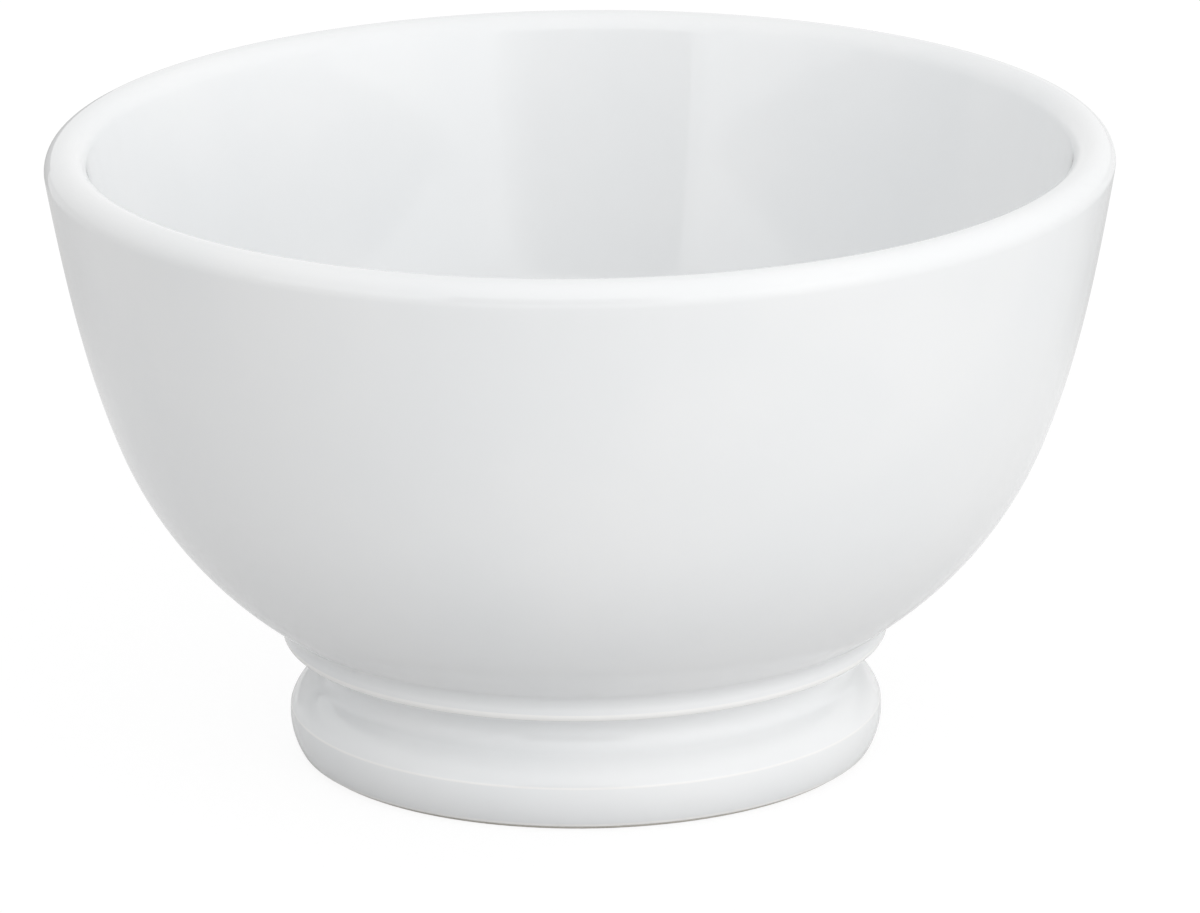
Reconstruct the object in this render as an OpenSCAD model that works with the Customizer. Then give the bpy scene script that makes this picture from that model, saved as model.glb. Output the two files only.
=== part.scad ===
// Footed latte bowl in white glazed porcelain.
// It stands on z = 0 with its axis on z, and every piece is a turned profile in the r-z plane.
// The sizes give the glazed surface, and the fired clay lies one glaze thickness under it.

/* [Bowl] */
// Diameter over the rim
rim_d = 140; // [126:1:154]
// Height from the table to the top of the rim
bowl_h = 82.6; // [75:0.2:92]
// Thickness of the glazed wall, which ends in a full round lip
wall_t = 5.6; // [4.6:0.1:6.6]
// Lean of the side from upright under the lip, in degrees
lip_lean = 9.6; // [6:0.1:14]
// How far the side keeps its lean under the lip
lip_pull = 14.5; // [10:0.5:18]

/* [Belly] */
// Radius of the belly's curve
belly_r = 51.6; // [47:0.1:56]
// How far in from the collar's face the curve's centre lies
belly_in = 26.8; // [24:0.1:29]
// Lean of the side from upright where the belly begins, in degrees
belly_lean = 21.3; // [17:0.1:25]
// How far the side keeps its lean above the belly
belly_pull = 11; // [8:0.5:15]
// Lean from upright where the belly turns into the dished floor, in degrees
floor_lean = 75; // [73:1:80]

/* [Foot] */
// Diameter over the ridge of the foot
foot_d = 78.2; // [72:0.2:84]
// Height of the ridge above the table
ridge_h = 6.2; // [5.4:0.1:7.2]
// Radius of the side between ridge and table
foot_side_r = 8.4; // [7:0.1:10]
// How far in from the ridge the side would reach the table
stand_inset = 1.6; // [1.1:0.1:2.2]
// Rise from the ridge to the collar's lower edge
neck_rise = 9.2; // [8.2:0.1:10.4]
// Depth of the neck, in from the ridge
neck_depth = 4.5; // [3.6:0.1:5.2]
// Radius of the hollow neck
neck_hollow_r = 3.2; // [2.7:0.1:3.8]
// Radius of the shoulder between neck and ridge
shoulder_r = 6.1; // [5:0.1:8]
// How far the collar stands out past the ridge
collar_out = 0.9; // [0.4:0.1:1.4]
// Height of the collar's face, up to the belly
collar_face = 3.1; // [2.6:0.1:4]

/* [Recess] */
// Width of the foot's wall at the table, out to where its side would reach it
stand_w = 4.5; // [3.6:0.1:5.4]
// Draft of the recess wall, in degrees
recess_draft = 8; // [4:0.5:10]

/* [Edges] */
// Radius of the collar's lower edge
collar_edge_r = 0.9; // [0.6:0.1:1.2]
// Radius of the ridge
ridge_edge_r = 0.9; // [0.6:0.1:1.4]
// Radius of the outer edge of the bare stand
stand_edge_r = 1.2; // [0.9:0.1:1.4]
// Radius of the inner edge of the bare stand
recess_edge_r = 0.6; // [0.3:0.05:0.65]

/* [Glaze and joint] */
// Thickness of the glaze
glaze_t = 0.3; // [0.2:0.05:0.45]
// Bare clay, wiped clean of glaze, above each rounded edge of the stand
bare_rise = 0.1; // [0.05:0.05:0.6]
// Thickness of the slip that holds the foot to the bowl
slip_t = 0.5; // [0.3:0.05:0.8]

/* [Smoothness] */
// Widest gap between an arc and the chords that draw it
chord_gap = 0.008; // [0.004:0.002:0.04]
// Chords in the side between belly and lip
side_steps = 14; // [6:1:40]

/* [Hidden] */
$fn = 240;

// Directions in the r-z plane, in degrees from outward
OUTWARD = 0;
UPWARD = 90;
DOWNWARD = -90;
HALF_TURN = 180;
FULL_TURN = 360;

// Direction of a step in the plane
function heading(step) = atan2(step.y, step.x);

function ray(direction) = [cos(direction), sin(direction)];

// The same path from its other end
function backwards(path) = [for (i = [len(path) - 1:-1:0]) path[i]];

// Arc from one direction to another, without its first point, so that arcs chain up
function arc(c, r, from, to) =
    let (
        widest = 2 * acos(1 - chord_gap / r),
        steps = max(1, ceil(abs(to - from) / widest))
    )
    [for (i = [1:steps]) c + r * ray(from + (to - from) * i / steps)];

// Where two circles meet, on the right of the way from the first centre to the second
function meet(c0, r0, c1, r1) =
    let (
        d = norm(c1 - c0),
        ahead = (d * d + r0 * r0 - r1 * r1) / (2 * d),
        aside = sqrt(r0 * r0 - ahead * ahead),
        u = (c1 - c0) / d
    )
    c0 + ahead * u + aside * [u.y, -u.x];

// Radii and heights of the foot, stacked from the table up to where the belly sits on the collar
ridge_r = foot_d / 2;
stand_r = ridge_r - stand_inset;
collar_r = ridge_r + collar_out;
collar_h = ridge_h + neck_rise;
seat_h = collar_h + collar_face;

// Centres of the foot's arcs, from the collar's edge down to the stand's
collar_c = [collar_r - collar_edge_r, collar_h + collar_edge_r];
neck_x = ridge_r - neck_depth + neck_hollow_r;
neck_drop = sqrt(pow(neck_hollow_r + collar_edge_r, 2) - pow(neck_x - collar_c.x, 2));
neck_c = [neck_x, collar_c.y - neck_drop];
ridge_p = [ridge_r, ridge_h];
shoulder_c = meet(neck_c, neck_hollow_r + shoulder_r, ridge_p, shoulder_r);
foot_side_c = meet(ridge_p, foot_side_r, [stand_r, 0], foot_side_r);
ridge_c = meet(shoulder_c, shoulder_r - ridge_edge_r, foot_side_c, foot_side_r - ridge_edge_r);
stand_reach = foot_side_r - glaze_t - stand_edge_r;
stand_run = sqrt(pow(stand_reach, 2) - pow(foot_side_c.y - stand_edge_r, 2));
stand_c = [foot_side_c.x + stand_run, stand_edge_r];

// Heights at which the glaze ends over the stand's outer and inner edges
stand_turn = heading(stand_c - foot_side_c);
outer_bare_h = stand_c.y + stand_edge_r * sin(stand_turn) + bare_rise;
inner_bare_h = recess_edge_r * (1 - sin(recess_draft)) + bare_rise;

// Centres of the bowl's arcs: lip, belly and, on the axis, the dished floor
lip_r = wall_t / 2;
lip_c = [rim_d / 2 - lip_r, bowl_h - lip_r];
belly_c = [collar_r - belly_in, seat_h + sqrt(pow(belly_r, 2) - pow(belly_in, 2))];
floor_r = belly_r + belly_c.x / cos(floor_lean);
floor_c = belly_c + (belly_r - floor_r) * ray(-floor_lean);

// Ends and handles of the curve that the side follows, from the belly up to the lip
SIDE_CURVE = let (
    low = belly_c + belly_r * ray(-belly_lean),
    high = lip_c + lip_r * ray(-lip_lean)
) [
    low,
    low + belly_pull * ray(UPWARD - belly_lean),
    high - lip_pull * ray(UPWARD - lip_lean),
    high
];

// Point of the side at a share of the way up, moved in from the surface by a depth
function side_point(way_share, depth) =
    let (
        t = way_share,
        s = 1 - way_share,
        c = SIDE_CURVE,
        p = s * s * s * c[0] + 3 * s * s * t * c[1] + 3 * s * t * t * c[2] + t * t * t * c[3],
        run = s * s * (c[1] - c[0]) + 2 * s * t * (c[2] - c[1]) + t * t * (c[3] - c[2])
    )
    p - depth * [run.y, -run.x] / norm(run);

// The side from its first point up to the lip, without that first point
function side_path(depth) =
    [for (i = [1:side_steps]) side_point(i / side_steps, depth)];

// The same side from the lip down, without its first point
function side_path_down(depth) =
    [for (i = [side_steps - 1:-1:0]) side_point(i / side_steps, depth)];

// Each skin below is a depth under the glazed surface: 0 for the glaze, glaze_t for the clay.

// Radius of the recess at a height
function recess_r(skin, h) = stand_r - stand_w + skin / cos(recess_draft) - h * tan(recess_draft);

// Lean of the belly, at a radius about its centre, where the collar and the recess wall meet it
function collar_lean(skin, r) = acos((collar_r - skin - belly_c.x) / r);
function recess_lean(skin, r) =
    acos((recess_r(skin, belly_c.y) - belly_c.x) * cos(recess_draft) / r) - recess_draft;

// Inside of the bowl, from the axis up to the lip
function inside_path(skin) = concat(
    [[0, floor_c.y - floor_r + wall_t - skin]],
    arc(floor_c, floor_r - wall_t + skin, DOWNWARD, -floor_lean),
    arc(belly_c, belly_r - wall_t + skin, -floor_lean, -belly_lean),
    side_path(wall_t - skin)
);

// Over the lip and down the outside of the bowl to the collar
function outside_path(skin) = concat(
    arc(lip_c, lip_r - skin, HALF_TURN - lip_lean, -lip_lean),
    side_path_down(skin),
    arc(belly_c, belly_r - skin, -belly_lean, -collar_lean(skin, belly_r - skin))
);

// Where the foot sits, from the collar in to the recess, at a radius about the belly's centre
function seat_path(r) = arc(belly_c, r, -collar_lean(glaze_t, r), -recess_lean(glaze_t, r));

// Point of the seat on the collar
function seat_start(r) = belly_c + r * ray(-collar_lean(glaze_t, r));

// Underside of the bowl inside the foot, from the recess wall to the axis
function under_path(skin) = concat(
    arc(belly_c, belly_r - skin, -recess_lean(skin, belly_r - skin), -floor_lean),
    arc(floor_c, floor_r - skin, -floor_lean, DOWNWARD)
);

// Point of the underside on the recess wall
function under_start(skin) = belly_c + (belly_r - skin) * ray(-recess_lean(skin, belly_r - skin));

// Direction from the centre of the foot's side to the edge of the glaze
function bare_heading(skin) = asin((outer_bare_h - foot_side_c.y) / (foot_side_r - skin));

// Outside of the foot, from the collar down to the bare stand
function foot_path(skin) = concat(
    [[collar_r - skin, collar_c.y]],
    arc(collar_c, collar_edge_r - skin, OUTWARD, heading(neck_c - collar_c)),
    arc(neck_c, neck_hollow_r + skin, heading(collar_c - neck_c), FULL_TURN + heading(shoulder_c - neck_c)),
    arc(shoulder_c, shoulder_r - skin, heading(neck_c - shoulder_c), heading(ridge_c - shoulder_c)),
    arc(ridge_c, ridge_edge_r - skin, heading(ridge_c - shoulder_c), heading(ridge_c - foot_side_c)),
    arc(foot_side_c, foot_side_r - skin, heading(ridge_c - foot_side_c), bare_heading(skin))
);

// The bare stand, from the outer edge of the glaze to the inner one
function stand_path() =
    let (
        inner_run = recess_edge_r * (1 - sin(recess_draft)) / cos(recess_draft),
        inner_c = [recess_r(glaze_t, 0) + inner_run, recess_edge_r]
    )
    concat(
        arc(foot_side_c, foot_side_r - glaze_t, bare_heading(glaze_t), stand_turn),
        arc(stand_c, stand_edge_r, stand_turn, DOWNWARD),
        [[inner_c.x, 0]],
        arc(inner_c, recess_edge_r, DOWNWARD, recess_draft - HALF_TURN),
        [[recess_r(glaze_t, inner_bare_h), inner_bare_h]]
    );

// Bowl in fired clay, closed through its floor along the axis
module bowl_body() {
    color("#ece8df") rotate_extrude() polygon(concat(
        inside_path(glaze_t),
        outside_path(glaze_t),
        seat_path(belly_r - glaze_t),
        under_path(glaze_t)
    ));
}

// Foot in fired clay, with the bare ring that it stands on
module foot_ring() {
    seat_r = belly_r - glaze_t + slip_t;
    color("#e6e1d6") rotate_extrude() polygon(concat(
        [seat_start(seat_r)],
        foot_path(glaze_t),
        stand_path(),
        backwards(seat_path(seat_r))
    ));
}

// Slip between the bowl and the foot
module slip_joint() {
    clay_r = belly_r - glaze_t;
    seat_r = clay_r + slip_t;
    color("#d8d2c6") rotate_extrude() polygon(concat(
        [seat_start(seat_r)],
        seat_path(seat_r),
        backwards(seat_path(clay_r)),
        [seat_start(clay_r)]
    ));
}

// Glaze over the inside, the lip, the outside and the foot
module glaze_coat() {
    color("#f5f7f8") rotate_extrude() polygon(concat(
        inside_path(0),
        outside_path(0),
        foot_path(0),
        backwards(foot_path(glaze_t)),
        backwards(outside_path(glaze_t)),
        backwards(inside_path(glaze_t))
    ));
}

// Glaze in the recess under the foot
module base_glaze() {
    color("#eef1f3") rotate_extrude() polygon(concat(
        [[recess_r(0, inner_bare_h), inner_bare_h], under_start(0)],
        under_path(0),
        backwards(under_path(glaze_t)),
        [under_start(glaze_t), [recess_r(glaze_t, inner_bare_h), inner_bare_h]]
    ));
}

bowl_body();
foot_ring();
slip_joint();
glaze_coat();
base_glaze();
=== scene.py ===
"""Looks of a footed latte bowl in white glazed porcelain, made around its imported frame.

Lengths are in metres, in the frame's own axes: the bowl stands on z = 0 and is turned about z.
"""

import math

import bpy
from mathutils import Matrix, Vector, noise


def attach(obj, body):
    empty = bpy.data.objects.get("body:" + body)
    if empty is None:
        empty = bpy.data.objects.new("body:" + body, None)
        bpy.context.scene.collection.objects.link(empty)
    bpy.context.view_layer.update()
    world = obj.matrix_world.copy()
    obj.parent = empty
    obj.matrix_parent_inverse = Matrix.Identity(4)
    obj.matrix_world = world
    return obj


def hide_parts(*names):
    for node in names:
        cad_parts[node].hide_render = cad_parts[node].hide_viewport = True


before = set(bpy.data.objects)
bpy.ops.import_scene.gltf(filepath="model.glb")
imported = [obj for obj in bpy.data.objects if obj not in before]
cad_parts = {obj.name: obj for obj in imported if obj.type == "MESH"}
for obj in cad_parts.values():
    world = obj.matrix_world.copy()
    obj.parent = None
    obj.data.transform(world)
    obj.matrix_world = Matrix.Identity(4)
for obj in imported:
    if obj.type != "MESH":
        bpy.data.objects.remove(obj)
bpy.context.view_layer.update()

MM = 0.001

# The photograph's frame, in pixels, and its camera
PHOTO_W = 1200
PHOTO_H = 913
TARGET = Vector((0, 0, 40 * MM))
TARGET_PX = (583.1, 451.1)
PX_PER_MM = 7.588
CAMERA_DISTANCE = 1400 * MM
CAMERA_ELEVATION = math.radians(16.8)
CAMERA_ROLL = math.radians(-0.62)
SENSOR_MM = 36
CAMERA_CLIP = (0.05, 50)

# The room's even light, and how far off the lamps stand
ROOM_LIGHT = 0.765
LAMP_DISTANCE = 1.3

# Kinds of rays that show the stage: straight from the camera, or by way of the glaze
STRAIGHT = ("Is Camera Ray",)
MIRRORED = ("Is Glossy Ray", "Is Transmission Ray")

# The floor: its size, its grey for the light that it throws back, its white where it is mirrored,
# and its own glow and share of shadow where it is seen straight
FLOOR_REACH = 6.0
FLOOR_GREY = 0.6
FLOOR_WHITE = 1.0
FLOOR_GLOW = 0.89
FLOOR_SHADE = 0.14

# How finely the turned skins are drawn
SEGMENTS = 180
FINE_TURN = math.radians(6)
FINE_STEP = 2.5 * MM
CORNER_TURN = math.radians(25)
STRAIGHT_TURN = math.radians(0.02)
RING_GRID = 0.02 * MM

# How far the glaze rounds an edge or a hollow, with no more than a share of the way to the next corner
EDGE_ROUND = 0.8 * MM
HOLLOW_ROUND = 2.7 * MM
ROUND_SHARE = 0.45

# How the glaze waves over the clay
WAVE_HEIGHT = 0.012 * MM
WAVE_LENGTH = 14 * MM

# The stretch over which a bend is felt, and the bend that counts as full, against which the darker tint of
# pooled glaze with painted shade and the painted highlight over edges are set
BEND_REACH = 0.6 * MM
FULL_BEND = 1 / (1.25 * MM)

# The glaze: its whites, its tints with the bends between which they come in (darker where glaze pools in
# hollows, partly painted shade, and a painted highlight over sharp edges), its gloss and its fine detail
GLAZE_WHITES = ((0.88, 0.892, 0.9, 1), (0.905, 0.912, 0.916, 1))
POOLED_GLAZE_AND_SHADE_TINT = (0.835, 0.852, 0.86, 1)
POOLED_GLAZE_AND_SHADE_BENDS = (0.2, 1)
EDGE_HIGHLIGHT_TINT = (0.96, 0.956, 0.946, 1)
EDGE_HIGHLIGHT_BENDS = (-0.46, -0.56)
GLAZE_ROUGHNESS = (0.03, 0.055)
GLAZE_IOR = 1.5
CLOUD_SIZE = 30 * MM
GLOSS_PATCH_SIZE = 8 * MM
GLOSS_PATCH_DETAIL = 4.0
DIMPLE_SIZE = 1.5 * MM
DIMPLE_DEPTH = 0.0008 * MM

# The bare clay: its light and dark grains, and how rough it is
CLAY_TINTS = ((0.80, 0.77, 0.71, 1), (0.72, 0.69, 0.63, 1))
CLAY_ROUGHNESS = (0.8, 0.95)
GRAIN_SIZE = 0.5 * MM
GRAIN_DETAIL = 6.0
GRAIN_DEPTH = 0.02 * MM

# The stretches of noise that are drawn out to the full range in the glaze and in the clay
GLAZE_NOISE = (0.3, 0.7)
CLAY_NOISE = (0.25, 0.75)


def ring_points(mesh):
    """The rings that a turned mesh's vertices lie on, as (r, z), and each vertex's ring."""
    cells, rings, ring_of = {}, [], []
    for vertex in mesh.vertices:
        point = Vector((math.hypot(vertex.co.x, vertex.co.y), vertex.co.z))
        column, row = round(point.x / RING_GRID), round(point.y / RING_GRID)
        around = [cells.get((column + i, row + j)) for i in (-1, 0, 1) for j in (-1, 0, 1)]
        found = [k for k in around if k is not None and (rings[k] - point).length < RING_GRID]
        if not found:
            found = [len(rings)]
            rings.append(point)
            cells[(column, row)] = found[0]
        ring_of.append(found[0])
    return rings, ring_of


def outline_of(node):
    """A turned node's outline as ordered (r, z) points.

    One that meets the axis starts on it, at its upper end.
    """
    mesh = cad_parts[node].data
    rings, ring_of = ring_points(mesh)
    beside = [set() for _ in rings]
    for edge in mesh.edges:
        a, b = (ring_of[v] for v in edge.vertices)
        if a != b:
            beside[a].add(b)
            beside[b].add(a)
    ends = [k for k, near in enumerate(beside) if len(near) == 1]
    start = max(ends or range(len(rings)), key=lambda k: rings[k].y)
    path = [start]
    while True:
        ahead = [k for k in beside[path[-1]] if k not in path[-2:] and k != path[0]]
        if not ahead:
            break
        path.append(ahead[0])
    return without_straights([rings[k] for k in path])


def without_straights(path):
    """A path without the points that lie on a straight stretch of it."""
    kept = [path[0]]
    for before, here, after in zip(path, path[1:], path[2:]):
        if abs((here - before).angle_signed(after - here)) > STRAIGHT_TURN:
            kept.append(here)
    return kept + [path[-1]]


def distances(path):
    """How far along a path each of its points lies."""
    out = [0.0]
    for a, b in zip(path, path[1:]):
        out.append(out[-1] + (b - a).length)
    return out


def point_at(path, along, distance):
    """The point of a path at a distance along it."""
    i = max(k for k in range(len(path) - 1) if along[k] <= distance)
    return path[i].lerp(path[i + 1], (distance - along[i]) / (along[i + 1] - along[i]))


def rounded(path):
    """A path with each of its sharp inner corners turned into an arc."""
    along = distances(path)
    turns = [0.0, *((b - a).angle_signed(c - b) for a, b, c in zip(path, path[1:], path[2:])), 0.0]
    sharp = [i for i, turn in enumerate(turns) if abs(turn) > CORNER_TURN]
    stops = [0, *sharp, len(path) - 1]
    out, done = [], 0
    for before, i, after in zip(stops, sharp, stops[2:]):
        room = ROUND_SHARE * min(along[i] - along[before], along[after] - along[i])
        half = abs(turns[i]) / 2
        reach = min((HOLLOW_ROUND if turns[i] < 0 else EDGE_ROUND) * math.tan(half), room)
        first, last = (point_at(path, along, along[i] + off) for off in (-reach, reach))
        out += [p for p, d in zip(path[done:], along[done:]) if d < along[i] - reach]
        steps = math.ceil(2 * half / FINE_TURN)
        for k in range(steps + 1):
            t = k / steps
            a, b, c = (1 - t) ** 2, 2 * t * (1 - t) * math.cos(half), t * t
            out.append((a * first + b * path[i] + c * last) / (a + b + c))
        done = next(k for k in range(i, len(path)) if along[k] > along[i] + reach)
    return out + path[done:]


def tangents(path):
    """Direction of a path at each point, between the steps beside it. The longer step counts for more."""
    inner = [(b - a).normalized() for a, b in zip(path, path[2:])]
    first, last = path[1] - path[0], path[-1] - path[-2]
    start = inner[0].reflect(Vector((-first.y, first.x)).normalized())
    end = inner[-1].reflect(Vector((-last.y, last.x)).normalized())
    return [start, *inner, end]


def finer(path):
    """A smooth path with points so close that neither its turns nor its steps are coarse."""
    ways = tangents(path)
    out = [path[0]]
    for i, (a, b) in enumerate(zip(path, path[1:])):
        turn = abs(ways[i].angle_signed(ways[i + 1]))
        chord = (b - a).length
        steps = max(1, math.ceil(turn / FINE_TURN), math.ceil(chord / FINE_STEP))
        for k in range(1, steps + 1):
            t = k / steps
            s = 1 - t
            ends = (1 + 2 * t) * s * s * a + t * t * (3 - 2 * t) * b
            out.append(ends + chord * (t * s * s * ways[i] - t * t * s * ways[i + 1]))
    return out


def bends(path):
    """How much a path bends near each point, from 1 in a hollow to -1 over an edge."""
    along = distances(path)
    turns = [-(b - a).angle_signed(c - b) for a, b, c in zip(path, path[1:], path[2:])]
    out = []
    for here in along:
        felt = 0.0
        for place, turn in zip(along[1:], turns):
            felt += turn * max(0.0, 1 - abs(place - here) / BEND_REACH) / BEND_REACH
        out.append(max(-1.0, min(1.0, felt / FULL_BEND)))
    return out


def wave(point):
    """How far the glazed surface stands off its even height at a point."""
    return WAVE_HEIGHT * noise.noise(point / WAVE_LENGTH)


def turned(name, path):
    """A closed mesh turned from a path whose ends lie on the axis, with the path's bends as an attribute."""
    normals = [Vector((-way.y, way.x)) for way in tangents(path)]
    vertices, rows, bent = [], [], []
    for point, normal, bend in zip(path, normals, bends(path)):
        on_axis = point.x < RING_GRID
        first = len(vertices)
        for k in range(1 if on_axis else SEGMENTS):
            angle = 2 * math.pi * k / SEGMENTS
            out = Vector((math.cos(angle), math.sin(angle), 0))
            place = out * point.x + Vector((0, 0, point.y))
            off = out * normal.x + Vector((0, 0, normal.y))
            vertices.append(place + wave(place) * off)
            bent.append(bend)
        rows.append([first] * SEGMENTS if on_axis else range(first, first + SEGMENTS))
    faces = []
    for low, high in zip(rows, rows[1:]):
        for k in range(SEGMENTS):
            n = (k + 1) % SEGMENTS
            corners = [low[k], high[k], high[n], low[n]]
            faces.append([c for j, c in enumerate(corners) if c != corners[j - 1]])
    mesh = bpy.data.meshes.new(name)
    mesh.from_pydata(vertices, [], faces)
    mesh.attributes.new("bend", "FLOAT", "POINT").data.foreach_set("value", bent)
    mesh.shade_smooth()
    piece = bpy.data.objects.new(name, mesh)
    bpy.context.scene.collection.objects.link(piece)
    return piece


# Materials


def grey(level):
    """A neutral colour."""
    return (level, level, level, 1)


class Nodes:
    """The node tree of a new material or world, with short ways to add to it."""

    def __init__(self, owner):
        owner.use_nodes = True
        self.owner = owner
        self.tree = owner.node_tree
        self.shader = self.tree.nodes.get("Principled BSDF")
        self.place = self.add("ShaderNodeTexCoord").outputs["Object"]

    def add(self, kind, links=None, **settings):
        node = self.tree.nodes.new(kind)
        for key, value in settings.items():
            setattr(node, key, value)
        for socket, source in (links or {}).items():
            self.set(node, socket, source)
        return node

    def set(self, node, socket, source):
        if isinstance(source, bpy.types.NodeSocket):
            self.tree.links.new(source, node.inputs[socket])
        else:
            node.inputs[socket].default_value = source

    def noise(self, size, detail=2.0):
        """Soft noise whose features are about as large as size."""
        links = {"Vector": self.place, "Scale": 1 / size, "Detail": detail}
        return self.add("ShaderNodeTexNoise", links).outputs["Fac"]

    def span(self, value, low, high, start, end):
        """A value's stretch from low to high, mapped smoothly to start and end."""
        links = {"Value": value, "From Min": low, "From Max": high, "To Min": start, "To Max": end}
        return self.add("ShaderNodeMapRange", links, interpolation_type="SMOOTHSTEP").outputs["Result"]

    def mix(self, share, a, b):
        """Colour a with a share of colour b."""
        node = self.add("ShaderNodeMix", data_type="RGBA")
        self.set(node, 0, share)
        self.set(node, 6, a)
        self.set(node, 7, b)
        return node.outputs[2]

    def rays(self, kinds):
        """1 for rays of some kinds, and 0 for others."""
        of_kind = self.add("ShaderNodeLightPath").outputs
        total = of_kind[kinds[0]]
        for kind in kinds[1:]:
            total = self.add("ShaderNodeMath", {0: total, 1: of_kind[kind]}, use_clamp=True).outputs[0]
        return total

    def matt(self, level):
        """A matt grey surface."""
        return self.add("ShaderNodeBsdfDiffuse", {"Color": grey(level)}).outputs[0]

    def blend(self, share, a, b):
        """Surface a with a share of surface b."""
        return self.add("ShaderNodeMixShader", {0: share, 1: a, 2: b}).outputs[0]

    def finish(self, surface):
        self.set(self.tree.nodes["Material Output"], "Surface", surface)
        return self.owner

    def bump(self, height, depth):
        """A normal from a height, where 1 stands for depth."""
        links = {"Height": height, "Distance": depth, "Strength": 1.0}
        return self.add("ShaderNodeBump", links).outputs["Normal"]


def glaze_material():
    """White glaze with faint clouds, darker where it pools in hollows, partly as painted shade, and with a
    painted highlight over sharp edges such as the foot's ridge.
    """
    n = Nodes(bpy.data.materials.new("white_glaze"))
    cloud = n.span(n.noise(CLOUD_SIZE), *GLAZE_NOISE, 0, 1)
    colour = n.mix(cloud, *GLAZE_WHITES)
    bend = n.add("ShaderNodeAttribute", attribute_name="bend").outputs["Fac"]
    # Darker, greyer glaze in hollows: partly glaze that pools, partly painted shade in creases such as the
    # collar's
    colour = n.mix(n.span(bend, *POOLED_GLAZE_AND_SHADE_BENDS, 0, 1), colour, POOLED_GLAZE_AND_SHADE_TINT)
    # Painted highlight: a pale line over sharp edges, such as the foot's ridge
    colour = n.mix(n.span(bend, *EDGE_HIGHLIGHT_BENDS, 0, 1), colour, EDGE_HIGHLIGHT_TINT)
    n.set(n.shader, "Base Color", colour)
    patches = n.noise(GLOSS_PATCH_SIZE, GLOSS_PATCH_DETAIL)
    n.set(n.shader, "Roughness", n.span(patches, *GLAZE_NOISE, *GLAZE_ROUGHNESS))
    n.set(n.shader, "IOR", GLAZE_IOR)
    n.set(n.shader, "Normal", n.bump(n.noise(DIMPLE_SIZE), DIMPLE_DEPTH))
    return n.owner


def clay_material():
    """Matt fired clay with a fine grain."""
    n = Nodes(bpy.data.materials.new("bare_clay"))
    grain = n.span(n.noise(GRAIN_SIZE, GRAIN_DETAIL), *CLAY_NOISE, 0, 1)
    n.set(n.shader, "Base Color", n.mix(grain, *CLAY_TINTS))
    n.set(n.shader, "Roughness", n.span(grain, 0, 1, *CLAY_ROUGHNESS))
    n.set(n.shader, "Normal", n.bump(grain, GRAIN_DEPTH))
    return n.owner


# Pieces


def dress(piece, material):
    """Gives a piece one material."""
    piece.data.materials.clear()
    piece.data.materials.append(material)


def make_glaze(name, node, material):
    """A skin of glaze in place of a turned node, with its corners rounded."""
    skin = turned(name, finer(rounded(outline_of(node))))
    dress(skin, material)
    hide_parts(node)
    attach(skin, "root")


def make_pieces():
    """The two skins of glaze, and the clay under them, which shows on the standing ring."""
    glaze = glaze_material()
    make_glaze("glaze_skin", "glaze_coat", glaze)
    make_glaze("recess_glaze", "base_glaze", glaze)
    clay = clay_material()
    for node in ("bowl_body", "foot_ring", "slip_joint"):
        dress(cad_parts[node], clay)


# Stage, light and camera


def make_sheet(name, corners, size=1):
    """A flat four-cornered piece of the stage."""
    mesh = bpy.data.meshes.new(name)
    mesh.from_pydata([Vector(corner) * size for corner in corners], [], [(0, 1, 2, 3)])
    sheet = bpy.data.objects.new(name, mesh)
    bpy.context.scene.collection.objects.link(sheet)
    return sheet


def make_floor():
    """A pale floor that shows white, and that keeps the bowl's shadow."""
    floor = make_sheet("floor", [(-1, -1, 0), (1, -1, 0), (1, 1, 0), (-1, 1, 0)], FLOOR_REACH)
    n = Nodes(bpy.data.materials.new("floor"))
    n.tree.nodes.remove(n.shader)
    glow = n.add("ShaderNodeEmission", {"Color": grey(FLOOR_GLOW)}).outputs[0]
    shown = n.add("ShaderNodeAddShader", {0: n.matt(FLOOR_SHADE), 1: glow}).outputs[0]
    hidden = n.blend(n.rays(MIRRORED), n.matt(FLOOR_GREY), n.matt(FLOOR_WHITE))
    dress(floor, n.finish(n.blend(n.rays(STRAIGHT), hidden, shown)))


def make_world():
    """A room with an even light, which is white where it is seen or mirrored."""
    world = bpy.data.worlds.new("studio")
    bpy.context.scene.world = world
    n = Nodes(world)
    links = {"Value": n.rays(STRAIGHT + MIRRORED), "To Min": ROOM_LIGHT, "To Max": 1.0}
    background = n.tree.nodes["Background"]
    n.set(background, "Color", grey(1))
    n.set(background, "Strength", n.add("ShaderNodeMapRange", links).outputs["Result"])


def direction(azimuth, elevation):
    """A direction in degrees. Azimuth 0 is towards the camera and 90 to its right."""
    a, e = math.radians(azimuth), math.radians(elevation)
    return Vector((math.sin(a) * math.cos(e), -math.cos(a) * math.cos(e), math.sin(e)))


def make_softbox(name, azimuth, elevation, width, height, radiance, mirrored=False):
    """A soft lamp that faces the bowl, and that either lights it or only shows in what the glaze mirrors."""
    data = bpy.data.lights.new(name, "AREA")
    data.shape = "RECTANGLE"
    data.size, data.size_y = width, height
    data.energy = radiance * math.pi * width * height
    lamp = bpy.data.objects.new(name, data)
    bpy.context.scene.collection.objects.link(lamp)
    away = direction(azimuth, elevation)
    lamp.location = TARGET + away * LAMP_DISTANCE
    lamp.rotation_euler = away.to_track_quat("Z", "Y").to_euler()
    lamp.visible_camera = False
    lamp.visible_glossy = mirrored
    lamp.visible_diffuse = not mirrored


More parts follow.
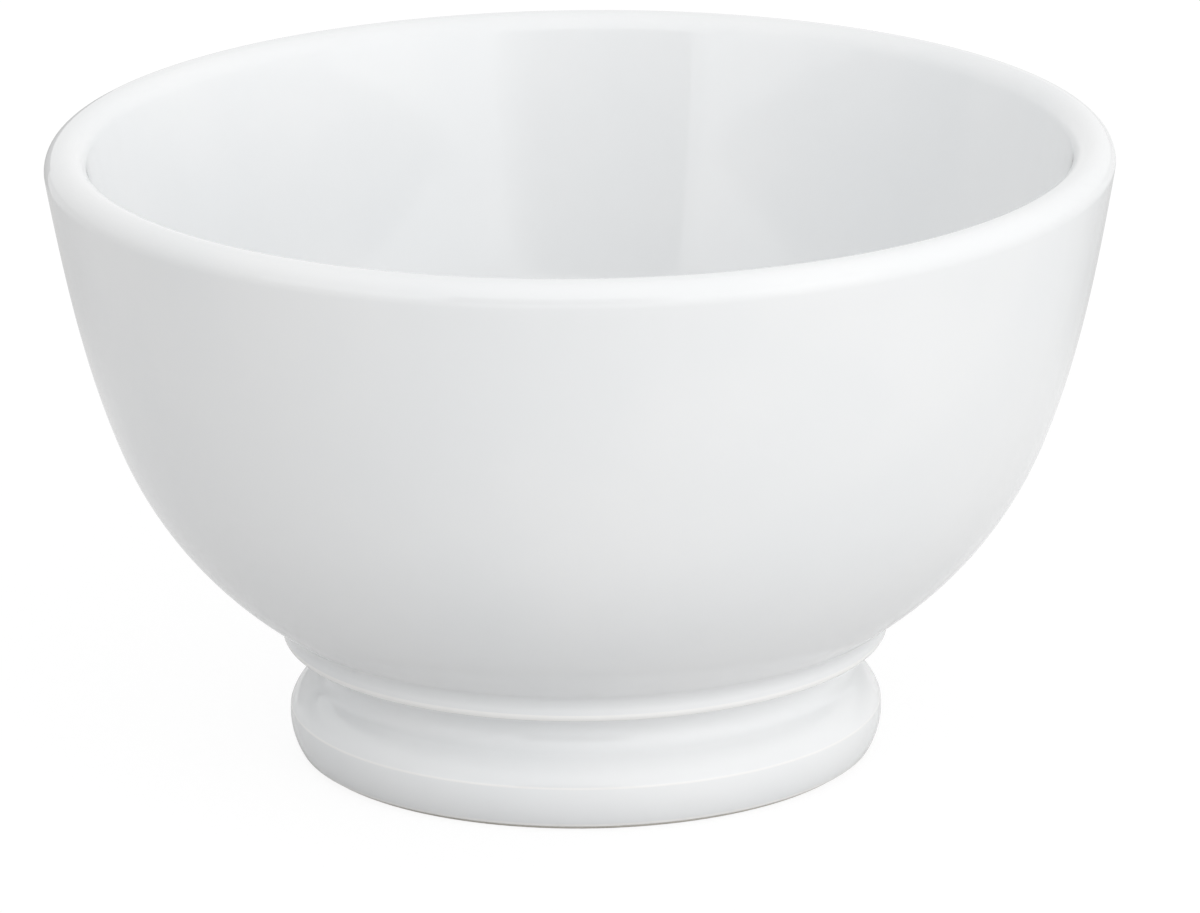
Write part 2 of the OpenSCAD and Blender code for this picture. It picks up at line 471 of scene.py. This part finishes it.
def make_card(name, azimuth, distance, width, height, level, soft=(0, 0, 0)):
    """A sheet that stands on the floor, faces the bowl and has a set grey glow of its own, not lit: it shows
    only in what the glaze mirrors, as a painted reflection.

    It fades out over soft stretches at its left side, its right side, as seen from behind it, and its foot.
    """
    away = direction(azimuth, 0)
    side = Vector((-away.y, away.x, 0)) * width / 2
    foot, top = away * distance, Vector((0, 0, height))
    card = make_sheet(name, [foot - side, foot + side, foot + side + top, foot - side + top])
    n = Nodes(bpy.data.materials.new(name))
    n.tree.nodes.remove(n.shader)
    # The card's set glow, not lit: what the glaze mirrors of it is a painted reflection
    look = n.add("ShaderNodeEmission", {"Color": grey(level)}).outputs[0]
    clear = n.add("ShaderNodeBsdfTransparent").outputs[0]
    right = side.normalized()
    ends = ((-right, width / 2), (right, width / 2), (Vector((0, 0, -1)), 0))
    for (outward, end), stretch in zip(ends, soft):
        if stretch:
            links = {0: n.place, 1: outward}
            across = n.add("ShaderNodeVectorMath", links, operation="DOT_PRODUCT").outputs["Value"]
            look = n.blend(n.span(across, end - stretch, end, 0, 1), look, clear)
    dress(card, n.finish(look))
    card.visible_camera = False
    card.visible_diffuse = False
    card.visible_shadow = False


def make_camera():
    """The photograph's camera, turned so that the target falls on its pixel."""
    data = bpy.data.cameras.new("camera")
    px_per_m = PX_PER_MM / MM
    data.sensor_width = SENSOR_MM
    data.lens = SENSOR_MM * px_per_m * CAMERA_DISTANCE / PHOTO_W
    data.clip_start, data.clip_end = CAMERA_CLIP
    camera = bpy.data.objects.new("camera", data)
    bpy.context.scene.collection.objects.link(camera)
    away = Vector((0, -math.cos(CAMERA_ELEVATION), math.sin(CAMERA_ELEVATION)))
    camera.location = TARGET + away * CAMERA_DISTANCE
    level = away.to_track_quat("Z", "Y").to_matrix() @ Matrix.Rotation(CAMERA_ROLL, 3, "Z")
    right_px, down_px = PHOTO_W / 2 - TARGET_PX[0], PHOTO_H / 2 - TARGET_PX[1]
    aim = TARGET + (level.col[0] * right_px - level.col[1] * down_px) / px_per_m
    back = (camera.location - aim).normalized()
    turn = back.to_track_quat("Z", "Y").to_matrix() @ Matrix.Rotation(CAMERA_ROLL, 3, "Z")
    camera.rotation_euler = turn.to_euler()
    bpy.context.scene.camera = camera


make_pieces()
make_floor()
make_world()

# Painted reflections: unlit sheets of a set grey, seen only in the glaze, a black one behind the camera and
# grey ones close behind the bowl
make_card("front_card", azimuth=-3, distance=1.9, width=1.7, height=0.93, level=0.0, soft=(0, 0.45, 0))
make_card("back_left_card", azimuth=-150, distance=0.236, width=0.08, height=0.09, level=0.5)
SIDE_REFLECTION_CARD = {"distance": 0.14, "width": 0.14, "height": 0.05, "level": 0.68}
make_card("left_reflection_card", azimuth=-132, soft=(0, 0.06, 0.03), **SIDE_REFLECTION_CARD)
make_card("right_reflection_card", azimuth=132, soft=(0.06, 0, 0.03), **SIDE_REFLECTION_CARD)

# Lamps that light the bowl, and lamps that only shine in the glaze
make_softbox("key", azimuth=30, elevation=21, width=1.5, height=1.0, radiance=1.42)
make_softbox("side", azimuth=97, elevation=7, width=1.96, height=0.32, radiance=0.8)
make_softbox("fill", azimuth=215, elevation=55, width=1.2, height=0.9, radiance=0.35)
SHINE = {"elevation": 13, "height": 0.45, "radiance": 0.4, "mirrored": True}
make_softbox("key_shine", azimuth=41, width=1.0, **SHINE)
make_softbox("left_shine", azimuth=-50, width=0.9, **SHINE)

make_camera()
bpy.context.scene.view_settings.view_transform = "Standard"
